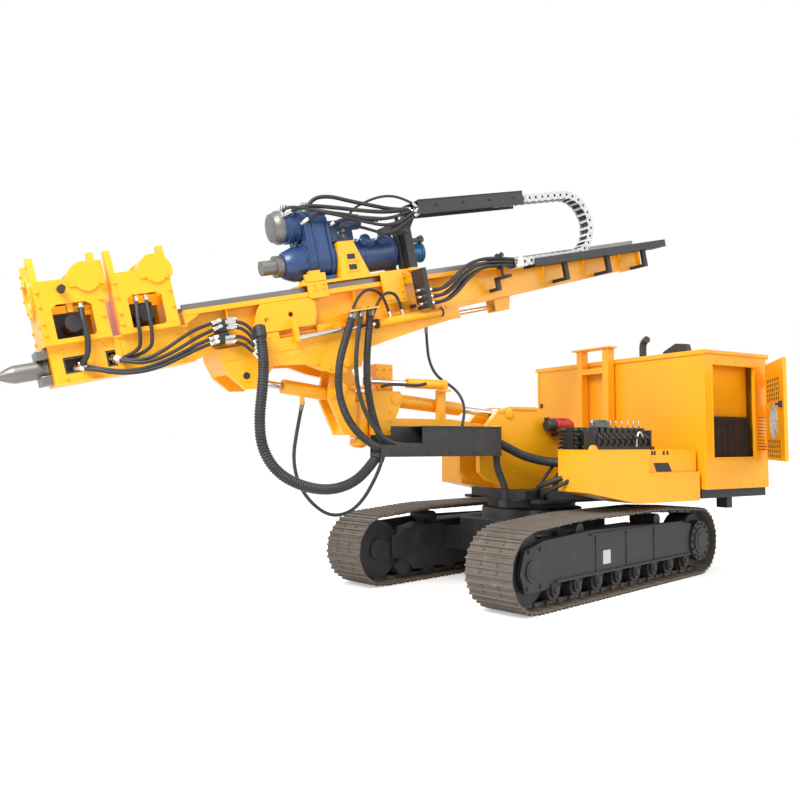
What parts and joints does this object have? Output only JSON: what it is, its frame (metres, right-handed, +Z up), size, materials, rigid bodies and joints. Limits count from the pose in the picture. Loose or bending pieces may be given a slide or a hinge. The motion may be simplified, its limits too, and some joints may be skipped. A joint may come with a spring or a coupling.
{
  "type": "crawler down-the-hole drilling rig",
  "caption": "Crawler down-the-hole drilling rig with slewing upper works, boom, tilting feed mast, rotary head on a carriage, rod clamps and an engine housing with an open side door.",
  "frame": {"origin": "on the ground under the slewing ring's centre", "axes": "+X forward along the upper works to the drilling end, +Y to the machine's left, +Z up"},
  "size_m": [6.8863, 3.2429, 3.826],
  "materials": {
    "yellow_paint": "satin enamel, worn",
    "dark_paint": "matte, dusty",
    "blue_paint": "satin enamel",
    "teal_paint": "satin enamel",
    "worn_steel": "worn, dusty",
    "bright_rod": "polished",
    "grey_steel": "dull",
    "grey_plastic": "matte",
    "black_rubber": "matte"
  },
  "bodies": {
    "chassis": {"track_left": "worn_steel", "track_right": "worn_steel", "track_frame_left": "dark_paint", "track_frame_right": "dark_paint", "car_body": "dark_paint"},
    "upper": {"upper_frame": "dark_paint", "boom_bracket": "yellow_paint", "panel_front": "yellow_paint", "panel_rear": "yellow_paint", "panel_right": "yellow_paint", "panel_left": "yellow_paint", "roof": "yellow_paint", "radiator": "dark_paint", "inner_panel": "yellow_paint", "engine": "dark_paint", "exhaust": "dark_paint", "mast_rest": "yellow_paint", "console": "yellow_paint", "console_rear": "yellow_paint", "valve_bank": "dark_paint", "pump_unit": "dark_paint", "hose_manifold": "dark_paint", "fuel_tank": "yellow_paint", "hose_console": "black_rubber", "hose_ring_rear": "black_rubber", "hose_ring_front": "black_rubber"},
    "door": {"side_door": "yellow_paint"},
    "boom": {"boom_arm": "yellow_paint", "hose_trough": "dark_paint", "trough_hoses": "black_rubber", "swing_barrel": "yellow_paint"},
    "lift_cylinder": {"lift_barrel": "yellow_paint"},
    "lift_ram": {"lift_rod": "bright_rod"},
    "swing_ram": {"swing_rod": "bright_rod"},
    "head": {"swing_head": "yellow_paint", "hose_mast": "black_rubber", "hose_tilt": "black_rubber", "hose_head_near": "black_rubber", "hose_head_thin": "black_rubber", "hose_head_far": "black_rubber", "hose_cradle": "black_rubber"},
    "tilt_cylinder": {"tilt_barrel": "yellow_paint"},
    "tilt_ram": {"tilt_rod": "bright_rod"},
    "cradle": {"mast_cradle": "yellow_paint"},
    "feed": {"feed_beam": "yellow_paint", "feed_rails": "grey_steel", "slide_rods": "bright_rod", "hose_bulkhead": "dark_paint", "front_box": "yellow_paint", "clamp_front": "yellow_paint", "clamp_rear": "yellow_paint", "chain_tray": "dark_paint"},
    "jaw_near": {"jaw_left": "dark_paint"},
    "jaw_far": {"jaw_right": "dark_paint"},
    "chain": {"drag_chain": "grey_plastic"},
    "carriage": {"carriage": "yellow_paint", "rotary_head": "blue_paint", "head_motors": "teal_paint", "chain_cover": "dark_paint"},
    "spindle": {"spindle": "grey_steel"}
  },
  "joints": [
    {"name": "slew", "type": "hinge", "parent": "chassis", "child": "upper", "pos_m": [0, 0, 0.706], "axis": [0, 0, 1], "range_deg": [-77.2, 102.8]},
    {"name": "door_hinge", "type": "hinge", "parent": "upper", "child": "door", "pos_m": [-2.05, 1.212, 1.64], "axis": [0, 0, 1], "range_deg": [-45, 70]},
    {"name": "boom_lift", "type": "hinge", "parent": "upper", "child": "boom", "pos_m": [0.6, 0, 1.43], "axis": [0, 1, 0], "range_deg": [-14, 6], "deforming": ["hose_console", "hose_ring_front", "hose_mast", "hose_tilt", "hose_head_near", "hose_head_thin", "hose_head_far", "hose_cradle"]},
    {"name": "lift_barrel_pin", "type": "hinge", "parent": "boom", "child": "lift_cylinder", "pos_m": [1.64, 0, 1.72], "axis": [0, 1, 0], "range_deg": [-1, 2]},
    {"name": "lift_rod_slide", "type": "slide", "parent": "lift_cylinder", "child": "lift_ram", "axis": [-0.9959, 0, -0.0905], "range_m": [-0.055, 0.025]},
    {"name": "swing_rod_slide", "type": "slide", "parent": "boom", "child": "swing_ram", "axis": [1, 0, 0], "range_m": [-0.07, 0.07]},
    {"name": "mast_swing", "type": "hinge", "parent": "boom", "child": "head", "pos_m": [1.95, 0, 1.54], "axis": [0, 0, 1], "range_deg": [-25, 25], "deforming": ["hose_mast", "hose_tilt", "hose_head_near", "hose_head_thin", "hose_head_far", "hose_cradle"]},
    {"name": "mast_tilt", "type": "hinge", "parent": "head", "child": "cradle", "pos_m": [2.18, 0, 2.01], "axis": [0, 1, 0], "range_deg": [-2, 22], "deforming": ["hose_mast", "hose_tilt", "hose_head_near", "hose_head_thin", "hose_head_far", "hose_cradle"]},
    {"name": "tilt_barrel_pin", "type": "hinge", "parent": "head", "child": "tilt_cylinder", "pos_m": [2.25, 0, 1.75], "axis": [0, 1, 0], "range_deg": [-3, 26], "deforming": ["hose_tilt"]},
    {"name": "tilt_rod_slide", "type": "slide", "parent": "tilt_cylinder", "child": "tilt_ram", "axis": [0.9924, 0, 0.1229], "range_m": [-0.1, 0.012]},
    {"name": "feed_slide", "type": "slide", "parent": "cradle", "child": "feed", "axis": [0.9732, 0, -0.23], "range_m": [-0.17, 0.45]},
    {"name": "jaw_near_slide", "type": "slide", "parent": "feed", "child": "jaw_near", "axis": [0, -1, 0], "range_m": [0, 0.06]},
    {"name": "jaw_far_slide", "type": "slide", "parent": "feed", "child": "jaw_far", "axis": [0, 1, 0], "range_m": [0, 0.06]},
    {"name": "carriage_slide", "type": "slide", "parent": "feed", "child": "carriage", "axis": [0.9732, 0, -0.23], "range_m": [-1.95, 0.45]},
    {"name": "chain_slide", "type": "slide", "parent": "feed", "child": "chain", "axis": [0.9732, 0, -0.23], "range_m": [-0.98, 0.23]},
    {"name": "spindle_spin", "type": "hinge", "parent": "carriage", "child": "spindle", "pos_m": [2.44954, 0, 2.86266], "axis": [0.9732, 0, -0.23], "continuous": true}
  ],
  "couplings": [
    {"joint": "lift_barrel_pin", "follows": "boom_lift", "ratio": -0.113},
    {"joint": "lift_rod_slide", "follows": "boom_lift", "m_per_rad": 0.205},
    {"joint": "swing_rod_slide", "follows": "mast_swing", "m_per_rad": -0.1502},
    {"joint": "tilt_barrel_pin", "follows": "mast_tilt", "ratio": 1.148},
    {"joint": "tilt_rod_slide", "follows": "mast_tilt", "m_per_rad": -0.2505},
    {"joint": "chain_slide", "follows": "carriage_slide", "ratio": 0.5},
    {"joint": "jaw_far_slide", "follows": "jaw_near_slide", "ratio": 1}
  ]
}
